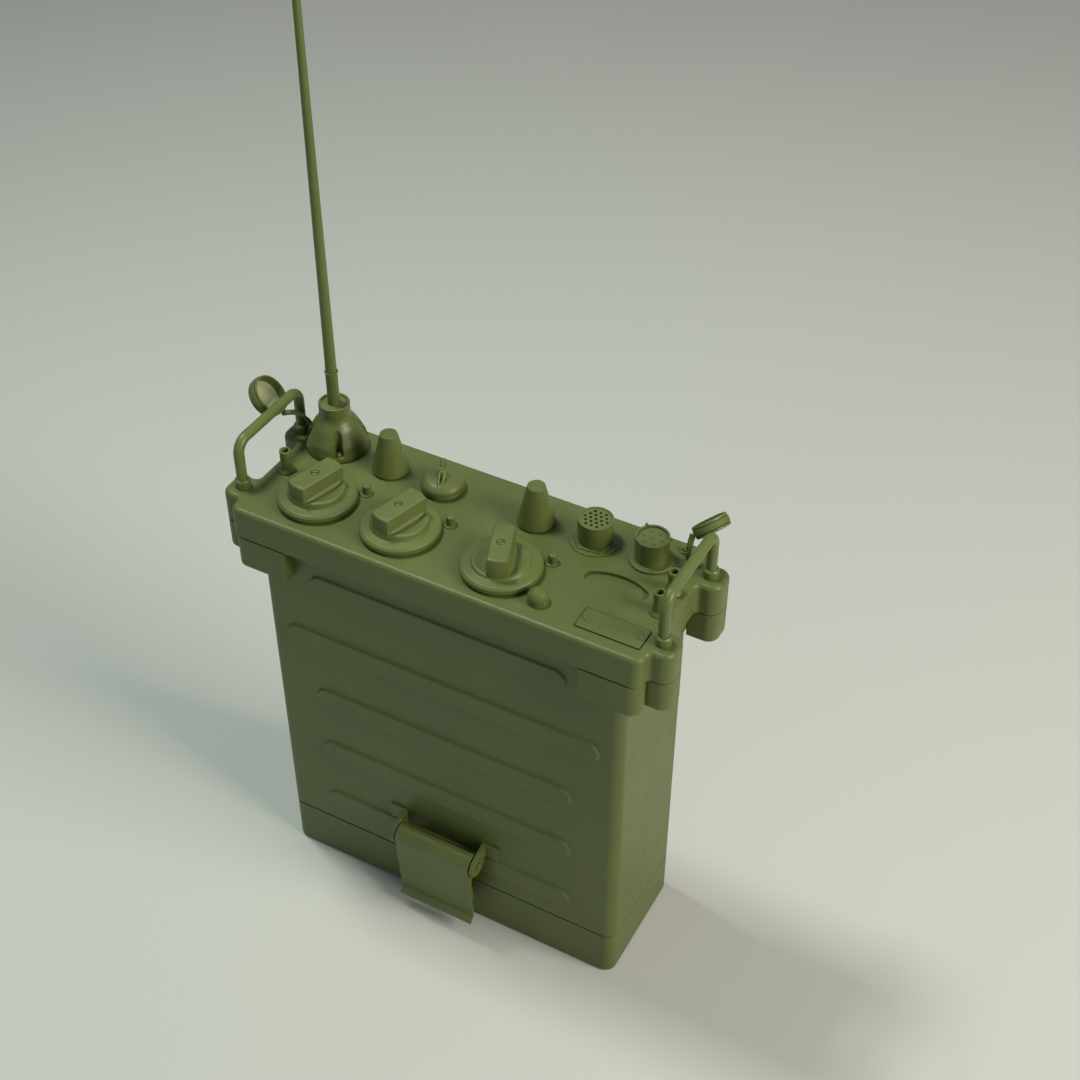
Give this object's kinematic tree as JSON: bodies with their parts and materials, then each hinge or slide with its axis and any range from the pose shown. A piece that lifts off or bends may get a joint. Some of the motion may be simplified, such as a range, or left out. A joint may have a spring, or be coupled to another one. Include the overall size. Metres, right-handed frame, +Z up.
{
  "type": "manpack radio set",
  "caption": "Olive manpack radio: ribbed case, cast control panel with knobs, sockets, handles and whip antenna, and a latched battery box below.",
  "frame": {"origin": "middle of the battery box's underside, on the surface the set stands on", "axes": "+Z up through the panel and whip, the ribbed front towards -Y, +X to the right along the panel"},
  "size_m": [0.3051, 0.12, 0.737],
  "materials": {
    "panel_paint": "semi-gloss olive enamel over a cast aluminium panel",
    "case_paint": "semi-gloss olive enamel over sheet aluminium",
    "rim_paint": "semi-gloss olive enamel over cast aluminium",
    "handle_paint": "olive enamel over steel rod, rubbed bright at the bends",
    "knob_paint": "olive enamel over cast aluminium",
    "fitting_paint": "olive enamel over turned brass fittings",
    "antenna_paint": "olive enamel over turned metal",
    "insert_plastic": "moulded olive insulator",
    "button_rubber": "moulded olive rubber boot",
    "strap_rubber": "moulded olive rubber",
    "gasket_rubber": "black-green sealing rubber",
    "latch_paint": "olive enamel over pressed steel",
    "steel": "plated steel",
    "brass": "machined brass",
    "chassis_metal": "chromated aluminium sheet",
    "board": "glass-epoxy circuit board",
    "can_metal": "tinned module cans",
    "battery_wrap": "waxed card battery wrap",
    "switch_phenolic": "phenolic switch wafers"
  },
  "bodies": {
    "radio": {"control_panel": "panel_paint", "panel_gasket": "gasket_rubber", "case_rim": "rim_paint", "case_shell": "case_paint", "clamp_blocks": "rim_paint", "handle_left": "handle_paint", "handle_right": "handle_paint", "handle_collars": "handle_paint", "battery_box": "case_paint", "battery_gasket": "gasket_rubber", "battery_pack": "battery_wrap", "battery_socket": "insert_plastic", "divider_plate": "chassis_metal", "latch_ears": "latch_paint", "latch_keepers": "latch_paint", "latch_pins": "latch_paint", "antenna_base": "antenna_paint", "antenna_insulator": "insert_plastic", "panel_screws": "fitting_paint", "audio_socket_shell": "fitting_paint", "audio_socket_insert": "insert_plastic", "power_socket_shell": "fitting_paint", "power_socket_insert": "insert_plastic", "socket_rings": "fitting_paint", "nameplate": "panel_paint", "index_pins": "fitting_paint", "terminal_posts": "fitting_paint", "light_bezel": "fitting_paint", "button_spring": "steel", "shaft_bushes": "brass", "switch_wafers": "switch_phenolic", "potentiometers": "steel", "cap_strap_left": "strap_rubber", "chassis_frame": "chassis_metal", "main_board": "board", "module_cans": "can_metal", "capacitor_stator": "chassis_metal"},
    "knob_left": {"knob_left": "knob_paint", "knob_left_shaft": "steel"},
    "knob_middle": {"knob_middle": "knob_paint", "knob_middle_shaft": "steel"},
    "knob_right": {"knob_right": "knob_paint", "knob_right_shaft": "steel"},
    "volume": {"volume_knob": "knob_paint", "volume_shaft": "steel"},
    "squelch": {"squelch_knob": "knob_paint", "squelch_shaft": "steel"},
    "winged": {"winged_knob": "knob_paint", "winged_shaft": "steel"},
    "light_button": {"light_button": "button_rubber"},
    "whip": {"antenna_sleeve": "antenna_paint", "antenna_whip": "antenna_paint"},
    "capacitor": {"capacitor_rotor": "brass"},
    "lever_front": {"latch_lever_front": "latch_paint"},
    "bail_front": {"latch_bail_front": "latch_paint"},
    "lever_rear": {"latch_lever_rear": "latch_paint"},
    "bail_rear": {"latch_bail_rear": "latch_paint"},
    "cap_left": {"dust_cap_left": "fitting_paint"},
    "strap_right": {"cap_strap_right": "strap_rubber"},
    "cap_right": {"dust_cap_right": "fitting_paint"}
  },
  "joints": [
    {"name": "left_knob_turn", "type": "hinge", "parent": "radio", "child": "knob_left", "pos_m": [-0.0904, -0.0191, 0.292], "axis": [0, 0, 1], "range_deg": [-150, 150]},
    {"name": "middle_knob_turn", "type": "hinge", "parent": "radio", "child": "knob_middle", "pos_m": [-0.034, -0.0197, 0.292], "axis": [0, 0, 1], "range_deg": [-150, 150]},
    {"name": "right_knob_turn", "type": "hinge", "parent": "radio", "child": "knob_right", "pos_m": [0.0317, -0.0202, 0.292], "axis": [0, 0, 1], "range_deg": [-60, 60]},
    {"name": "volume_turn", "type": "hinge", "parent": "radio", "child": "volume", "pos_m": [-0.068, 0.0242, 0.292], "axis": [0, 0, 1], "range_deg": [-135, 135]},
    {"name": "squelch_turn", "type": "hinge", "parent": "radio", "child": "squelch", "pos_m": [0.0295, 0.0239, 0.292], "axis": [0, 0, 1], "range_deg": [-135, 135]},
    {"name": "winged_knob_turn", "type": "hinge", "parent": "radio", "child": "winged", "pos_m": [-0.0323, 0.024, 0.292], "axis": [0, 0, 1], "range_deg": [-45, 45]},
    {"name": "light_press", "type": "slide", "parent": "radio", "child": "light_button", "axis": [0, 0, 1], "range_m": [-0.002, 0], "stiffness_N_per_m": 400, "springref_m": 0.002, "deforming": ["button_spring"]},
    {"name": "whip_turn", "type": "hinge", "parent": "radio", "child": "whip", "pos_m": [-0.1085, 0.029, 0.292], "axis": [0, 0, 1], "range_deg": [0, 350]},
    {"name": "capacitor_turn", "type": "hinge", "parent": "radio", "child": "capacitor", "pos_m": [-0.05889, -0.01354, 0.242], "axis": [0, 0, 1], "range_deg": [-80, 80]},
    {"name": "front_lever_swing", "type": "hinge", "parent": "radio", "child": "lever_front", "pos_m": [0, -0.052, 0.0665], "axis": [-1, 0, 0], "range_deg": [0, 95]},
    {"name": "front_bail_swing", "type": "hinge", "parent": "lever_front", "child": "bail_front", "pos_m": [0, -0.0528, 0.0715], "axis": [-1, 0, 0], "range_deg": [-87, 0]},
    {"name": "rear_lever_swing", "type": "hinge", "parent": "radio", "child": "lever_rear", "pos_m": [0, 0.052, 0.0665], "axis": [1, 0, 0], "range_deg": [0, 95]},
    {"name": "rear_bail_swing", "type": "hinge", "parent": "lever_rear", "child": "bail_rear", "pos_m": [0, 0.0528, 0.0715], "axis": [1, 0, 0], "range_deg": [-87, 0]},
    {"name": "left_cap_turn", "type": "hinge", "parent": "radio", "child": "cap_left", "pos_m": [-0.14963, 0.01968, 0.31916], "axis": [0.7317, 0.2005, 0.6515], "continuous": true},
    {"name": "right_strap_swing", "type": "hinge", "parent": "radio", "child": "strap_right", "pos_m": [0.1205, 0.0385, 0.292], "axis": [0, 0, 1], "range_deg": [-8, 40]},
    {"name": "right_cap_turn", "type": "hinge", "parent": "strap_right", "child": "cap_right", "pos_m": [0.12777, 0.04299, 0.31528], "axis": [-0.6587, 0.2794, 0.6986], "continuous": true}
  ],
  "couplings": [
    {"joint": "capacitor_turn", "follows": "left_knob_turn", "ratio": -0.52381},
    {"joint": "front_bail_swing", "follows": "front_lever_swing", "ratio": -0.91},
    {"joint": "rear_bail_swing", "follows": "rear_lever_swing", "ratio": -0.91}
  ]
}
